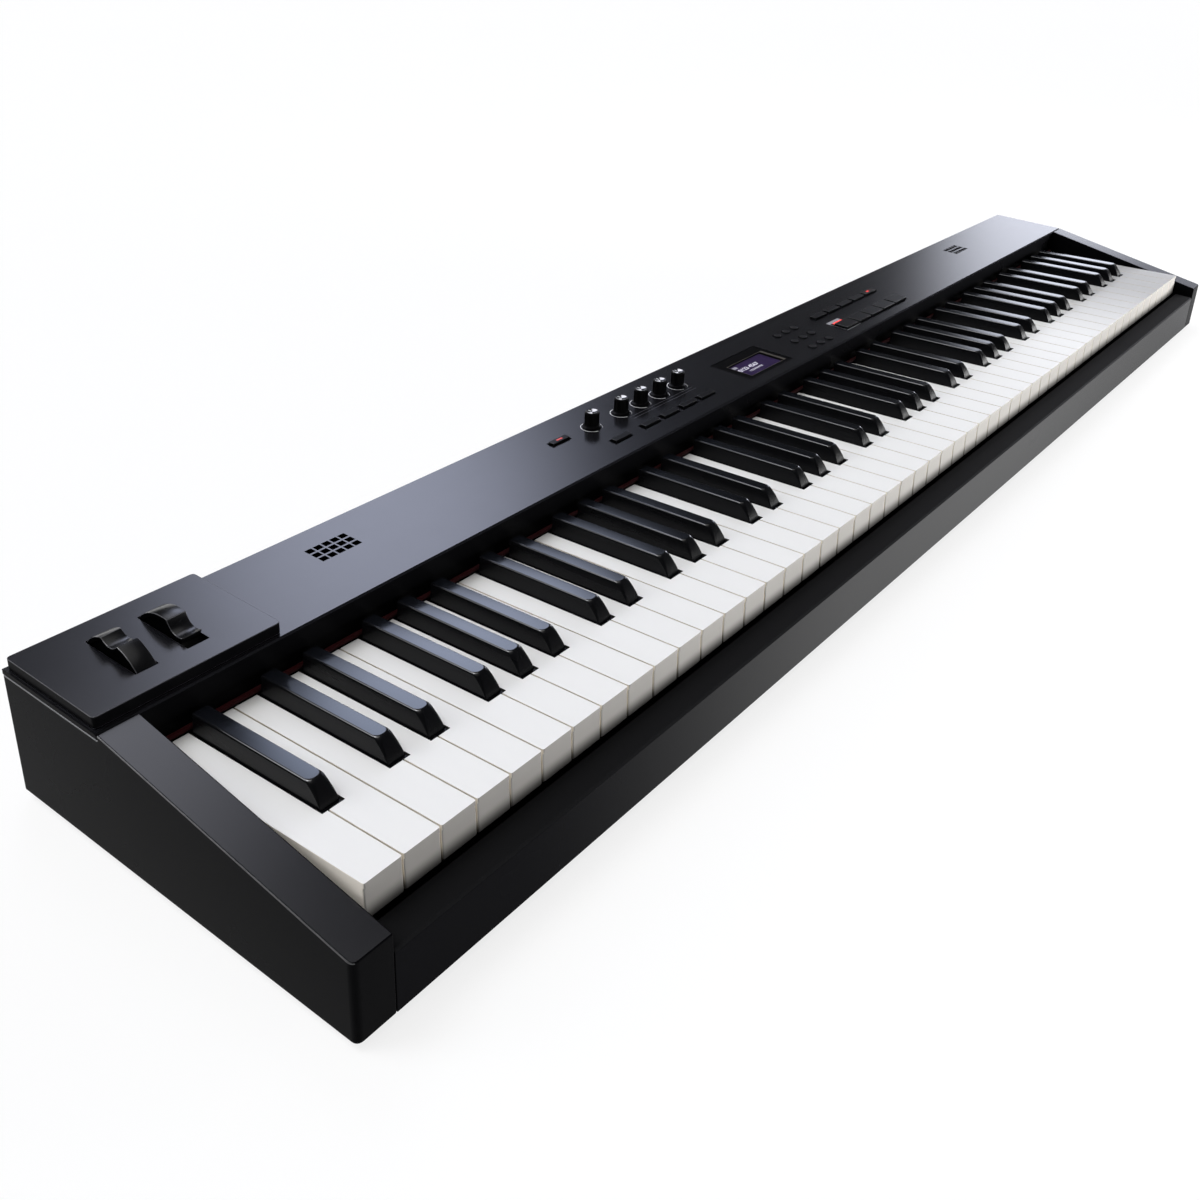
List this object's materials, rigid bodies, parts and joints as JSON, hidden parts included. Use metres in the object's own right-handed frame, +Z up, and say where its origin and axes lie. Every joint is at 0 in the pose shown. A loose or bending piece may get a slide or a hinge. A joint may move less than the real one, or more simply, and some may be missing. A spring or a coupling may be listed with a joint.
{
  "type": "stage piano",
  "caption": "Slim stage piano with a full row of hammer-action keys, end cheeks, a control panel with knobs and buttons, a display and two wheels.",
  "frame": {"origin": "on the floor under the middle of the case", "axes": "+X along the keys from bass to treble, +Y from the player to the back, +Z up"},
  "size_m": [1.276, 0.2574, 0.0998],
  "materials": {
    "case_satin": "satin black moulded case",
    "panel_satin": "satin black panel with a grey-blue sheen",
    "frame_plastic": "plain dark plastic",
    "key_white": "fine-grained ivory feel",
    "key_black": "satin ebony feel",
    "red_felt": "dark red felt",
    "display_lens": "dark tinted window",
    "display_screen": "lit screen",
    "circuit_board": "green circuit board",
    "speaker_parts": "black basket and paper cone",
    "bracket_steel": "plain steel",
    "foot_rubber": "black rubber",
    "control_black": "matt black knob",
    "button_black": "matt black button",
    "wheel_black": "satin black wheel"
  },
  "bodies": {
    "chassis": {"bottom_case": "frame_plastic", "left_cheek": "case_satin", "right_cheek": "case_satin", "front_rail": "case_satin", "top_panel": "panel_satin", "wheel_cover": "panel_satin", "rear_panel": "case_satin", "key_frame": "frame_plastic", "felt_strip": "red_felt", "display_window": "display_lens", "display_module": "display_screen", "main_board": "circuit_board", "panel_board": "circuit_board", "jack_board": "circuit_board", "speaker_left": "speaker_parts", "speaker_right": "speaker_parts", "foot_front_left": "foot_rubber", "foot_rear_left": "foot_rubber", "foot_front_right": "foot_rubber", "foot_rear_right": "foot_rubber", "wheel_bracket": "bracket_steel"},
    "white_keys_octave_0": {"white_keys_octave_0": "key_white"},
    "white_keys_octave_1": {"white_keys_octave_1": "key_white"},
    "white_keys_octave_2": {"white_keys_octave_2": "key_white"},
    "white_keys_octave_3": {"white_keys_octave_3": "key_white"},
    "white_key_c_4": {"white_key_c_4": "key_white"},
    "white_key_d_4": {"white_key_d_4": "key_white"},
    "white_key_e_4": {"white_key_e_4": "key_white"},
    "white_key_f_4": {"white_key_f_4": "key_white"},
    "white_key_g_4": {"white_key_g_4": "key_white"},
    "white_key_a_4": {"white_key_a_4": "key_white"},
    "white_key_b_4": {"white_key_b_4": "key_white"},
    "white_keys_octave_5": {"white_keys_octave_5": "key_white"},
    "white_keys_octave_6": {"white_keys_octave_6": "key_white"},
    "white_keys_octave_7": {"white_keys_octave_7": "key_white"},
    "white_keys_octave_8": {"white_keys_octave_8": "key_white"},
    "black_keys_octave_0": {"black_keys_octave_0": "key_black"},
    "black_keys_octave_1": {"black_keys_octave_1": "key_black"},
    "black_keys_octave_2": {"black_keys_octave_2": "key_black"},
    "black_keys_octave_3": {"black_keys_octave_3": "key_black"},
    "black_key_c_sharp_4": {"black_key_c_sharp_4": "key_black"},
    "black_key_d_sharp_4": {"black_key_d_sharp_4": "key_black"},
    "black_key_f_sharp_4": {"black_key_f_sharp_4": "key_black"},
    "black_key_g_sharp_4": {"black_key_g_sharp_4": "key_black"},
    "black_key_a_sharp_4": {"black_key_a_sharp_4": "key_black"},
    "black_keys_octave_5": {"black_keys_octave_5": "key_black"},
    "black_keys_octave_6": {"black_keys_octave_6": "key_black"},
    "black_keys_octave_7": {"black_keys_octave_7": "key_black"},
    "pitch_wheel": {"pitch_wheel": "wheel_black"},
    "modulation_wheel": {"modulation_wheel": "wheel_black"},
    "volume_knob": {"volume_knob": "control_black"},
    "control_knob_1": {"control_knob_1": "control_black"},
    "control_knob_2": {"control_knob_2": "control_black"},
    "control_knob_3": {"control_knob_3": "control_black"},
    "control_knob_4": {"control_knob_4": "control_black"},
    "power_button": {"power_button": "button_black"},
    "slim_buttons": {"slim_buttons": "button_black"},
    "round_buttons": {"round_buttons": "button_black"},
    "row_buttons": {"row_buttons": "button_black"},
    "pad_buttons": {"pad_buttons": "button_black"}
  },
  "joints": [
    {"name": "white_keys_octave_0_press", "type": "hinge", "parent": "chassis", "child": "white_keys_octave_0", "pos_m": [0, 0.09709, 0.03696], "axis": [1, 0, 0], "range_deg": [0, 2.7], "stiffness_Nm_per_rad": 2.6, "springref_deg": -11.46},
    {"name": "white_keys_octave_1_press", "type": "hinge", "parent": "chassis", "child": "white_keys_octave_1", "pos_m": [0, 0.09709, 0.03696], "axis": [1, 0, 0], "range_deg": [0, 2.7], "stiffness_Nm_per_rad": 9.1, "springref_deg": -11.46},
    {"name": "white_keys_octave_2_press", "type": "hinge", "parent": "chassis", "child": "white_keys_octave_2", "pos_m": [0, 0.09709, 0.03696], "axis": [1, 0, 0], "range_deg": [0, 2.7], "stiffness_Nm_per_rad": 9.1, "springref_deg": -11.46},
    {"name": "white_keys_octave_3_press", "type": "hinge", "parent": "chassis", "child": "white_keys_octave_3", "pos_m": [0, 0.09709, 0.03696], "axis": [1, 0, 0], "range_deg": [0, 2.7], "stiffness_Nm_per_rad": 9.1, "springref_deg": -11.46},
    {"name": "white_key_c_4_press", "type": "hinge", "parent": "chassis", "child": "white_key_c_4", "pos_m": [0, 0.09709, 0.03696], "axis": [1, 0, 0], "range_deg": [0, 2.7], "stiffness_Nm_per_rad": 1.3, "springref_deg": -11.46},
    {"name": "white_key_d_4_press", "type": "hinge", "parent": "chassis", "child": "white_key_d_4", "pos_m": [0, 0.09709, 0.03696], "axis": [1, 0, 0], "range_deg": [0, 2.7], "stiffness_Nm_per_rad": 1.3, "springref_deg": -11.46},
    {"name": "white_key_e_4_press", "type": "hinge", "parent": "chassis", "child": "white_key_e_4", "pos_m": [0, 0.09709, 0.03696], "axis": [1, 0, 0], "range_deg": [0, 2.7], "stiffness_Nm_per_rad": 1.3, "springref_deg": -11.46},
    {"name": "white_key_f_4_press", "type": "hinge", "parent": "chassis", "child": "white_key_f_4", "pos_m": [0, 0.09709, 0.03696], "axis": [1, 0, 0], "range_deg": [0, 2.7], "stiffness_Nm_per_rad": 1.3, "springref_deg": -11.46},
    {"name": "white_key_g_4_press", "type": "hinge", "parent": "chassis", "child": "white_key_g_4", "pos_m": [0, 0.09709, 0.03696], "axis": [1, 0, 0], "range_deg": [0, 2.7], "stiffness_Nm_per_rad": 1.3, "springref_deg": -11.46},
    {"name": "white_key_a_4_press", "type": "hinge", "parent": "chassis", "child": "white_key_a_4", "pos_m": [0, 0.09709, 0.03696], "axis": [1, 0, 0], "range_deg": [0, 2.7], "stiffness_Nm_per_rad": 1.3, "springref_deg": -11.46},
    {"name": "white_key_b_4_press", "type": "hinge", "parent": "chassis", "child": "white_key_b_4", "pos_m": [0, 0.09709, 0.03696], "axis": [1, 0, 0], "range_deg": [0, 2.7], "stiffness_Nm_per_rad": 1.3, "springref_deg": -11.46},
    {"name": "white_keys_octave_5_press", "type": "hinge", "parent": "chassis", "child": "white_keys_octave_5", "pos_m": [0, 0.09709, 0.03696], "axis": [1, 0, 0], "range_deg": [0, 2.7], "stiffness_Nm_per_rad": 9.1, "springref_deg": -11.46},
    {"name": "white_keys_octave_6_press", "type": "hinge", "parent": "chassis", "child": "white_keys_octave_6", "pos_m": [0, 0.09709, 0.03696], "axis": [1, 0, 0], "range_deg": [0, 2.7], "stiffness_Nm_per_rad": 9.1, "springref_deg": -11.46},
    {"name": "white_keys_octave_7_press", "type": "hinge", "parent": "chassis", "child": "white_keys_octave_7", "pos_m": [0, 0.09709, 0.03696], "axis": [1, 0, 0], "range_deg": [0, 2.7], "stiffness_Nm_per_rad": 9.1, "springref_deg": -11.46},
    {"name": "white_keys_octave_8_press", "type": "hinge", "parent": "chassis", "child": "white_keys_octave_8", "pos_m": [0, 0.09709, 0.03696], "axis": [1, 0, 0], "range_deg": [0, 2.7], "stiffness_Nm_per_rad": 1.3, "springref_deg": -11.46},
    {"name": "black_keys_octave_0_press", "type": "hinge", "parent": "chassis", "child": "black_keys_octave_0", "pos_m": [0, 0.09709, 0.03696], "axis": [1, 0, 0], "range_deg": [0, 2.7], "stiffness_Nm_per_rad": 0.8, "springref_deg": -11.46},
    {"name": "black_keys_octave_1_press", "type": "hinge", "parent": "chassis", "child": "black_keys_octave_1", "pos_m": [0, 0.09709, 0.03696], "axis": [1, 0, 0], "range_deg": [0, 2.7], "stiffness_Nm_per_rad": 4, "springref_deg": -11.46},
    {"name": "black_keys_octave_2_press", "type": "hinge", "parent": "chassis", "child": "black_keys_octave_2", "pos_m": [0, 0.09709, 0.03696], "axis": [1, 0, 0], "range_deg": [0, 2.7], "stiffness_Nm_per_rad": 4, "springref_deg": -11.46},
    {"name": "black_keys_octave_3_press", "type": "hinge", "parent": "chassis", "child": "black_keys_octave_3", "pos_m": [0, 0.09709, 0.03696], "axis": [1, 0, 0], "range_deg": [0, 2.7], "stiffness_Nm_per_rad": 4, "springref_deg": -11.46},
    {"name": "black_key_c_sharp_4_press", "type": "hinge", "parent": "chassis", "child": "black_key_c_sharp_4", "pos_m": [0, 0.09709, 0.03696], "axis": [1, 0, 0], "range_deg": [0, 2.7], "stiffness_Nm_per_rad": 0.8, "springref_deg": -11.46},
    {"name": "black_key_d_sharp_4_press", "type": "hinge", "parent": "chassis", "child": "black_key_d_sharp_4", "pos_m": [0, 0.09709, 0.03696], "axis": [1, 0, 0], "range_deg": [0, 2.7], "stiffness_Nm_per_rad": 0.8, "springref_deg": -11.46},
    {"name": "black_key_f_sharp_4_press", "type": "hinge", "parent": "chassis", "child": "black_key_f_sharp_4", "pos_m": [0, 0.09709, 0.03696], "axis": [1, 0, 0], "range_deg": [0, 2.7], "stiffness_Nm_per_rad": 0.8, "springref_deg": -11.46},
    {"name": "black_key_g_sharp_4_press", "type": "hinge", "parent": "chassis", "child": "black_key_g_sharp_4", "pos_m": [0, 0.09709, 0.03696], "axis": [1, 0, 0], "range_deg": [0, 2.7], "stiffness_Nm_per_rad": 0.8, "springref_deg": -11.46},
    {"name": "black_key_a_sharp_4_press", "type": "hinge", "parent": "chassis", "child": "black_key_a_sharp_4", "pos_m": [0, 0.09709, 0.03696], "axis": [1, 0, 0], "range_deg": [0, 2.7], "stiffness_Nm_per_rad": 0.8, "springref_deg": -11.46},
    {"name": "black_keys_octave_5_press", "type": "hinge", "parent": "chassis", "child": "black_keys_octave_5", "pos_m": [0, 0.09709, 0.03696], "axis": [1, 0, 0], "range_deg": [0, 2.7], "stiffness_Nm_per_rad": 4, "springref_deg": -11.46},
    {"name": "black_keys_octave_6_press", "type": "hinge", "parent": "chassis", "child": "black_keys_octave_6", "pos_m": [0, 0.09709, 0.03696], "axis": [1, 0, 0], "range_deg": [0, 2.7], "stiffness_Nm_per_rad": 4, "springref_deg": -11.46},
    {"name": "black_keys_octave_7_press", "type": "hinge", "parent": "chassis", "child": "black_keys_octave_7", "pos_m": [0, 0.09709, 0.03696], "axis": [1, 0, 0], "range_deg": [0, 2.7], "stiffness_Nm_per_rad": 4, "springref_deg": -11.46},
    {"name": "pitch_wheel_turn", "type": "hinge", "parent": "chassis", "child": "pitch_wheel", "pos_m": [0, 0.08805, 0.0708], "axis": [1, 0, 0], "range_deg": [-35, 35], "stiffness_Nm_per_rad": 0.05},
    {"name": "modulation_wheel_turn", "type": "hinge", "parent": "chassis", "child": "modulation_wheel", "pos_m": [0, 0.08805, 0.0708], "axis": [1, 0, 0], "range_deg": [-25, 45]},
    {"name": "volume_knob_turn", "type": "hinge", "parent": "chassis", "child": "volume_knob", "pos_m": [-0.2078, 0.09665, 0.0821], "axis": [0, 0, 1], "range_deg": [-150, 150]},
    {"name": "control_knob_1_turn", "type": "hinge", "parent": "chassis", "child": "control_knob_1", "pos_m": [-0.1724, 0.09665, 0.0821], "axis": [0, 0, 1], "range_deg": [-150, 150]},
    {"name": "control_knob_2_turn", "type": "hinge", "parent": "chassis", "child": "control_knob_2", "pos_m": [-0.1477, 0.09665, 0.0821], "axis": [0, 0, 1], "range_deg": [-150, 150]},
    {"name": "control_knob_3_turn", "type": "hinge", "parent": "chassis", "child": "control_knob_3", "pos_m": [-0.123, 0.09665, 0.0821], "axis": [0, 0, 1], "range_deg": [-150, 150]},
    {"name": "control_knob_4_turn", "type": "hinge", "parent": "chassis", "child": "control_knob_4", "pos_m": [-0.0983, 0.09665, 0.0821], "axis": [0, 0, 1], "range_deg": [-150, 150]},
    {"name": "power_button_press", "type": "slide", "parent": "chassis", "child": "power_button", "axis": [0, 0, -1], "range_m": [0, 0.0007], "stiffness_N_per_m": 300, "springref_m": -0.002},
    {"name": "slim_buttons_press", "type": "slide", "parent": "chassis", "child": "slim_buttons", "axis": [0, 0, -1], "range_m": [0, 0.0007], "stiffness_N_per_m": 600, "springref_m": -0.002},
    {"name": "round_buttons_press", "type": "slide", "parent": "chassis", "child": "round_buttons", "axis": [0, 0, -1], "range_m": [0, 0.0007], "stiffness_N_per_m": 800, "springref_m": -0.002},
    {"name": "row_buttons_press", "type": "slide", "parent": "chassis", "child": "row_buttons", "axis": [0, 0, -1], "range_m": [0, 0.0007], "stiffness_N_per_m": 700, "springref_m": -0.002},
    {"name": "pad_buttons_press", "type": "slide", "parent": "chassis", "child": "pad_buttons", "axis": [0, 0, -1], "range_m": [0, 0.0007], "stiffness_N_per_m": 900, "springref_m": -0.002}
  ]
}
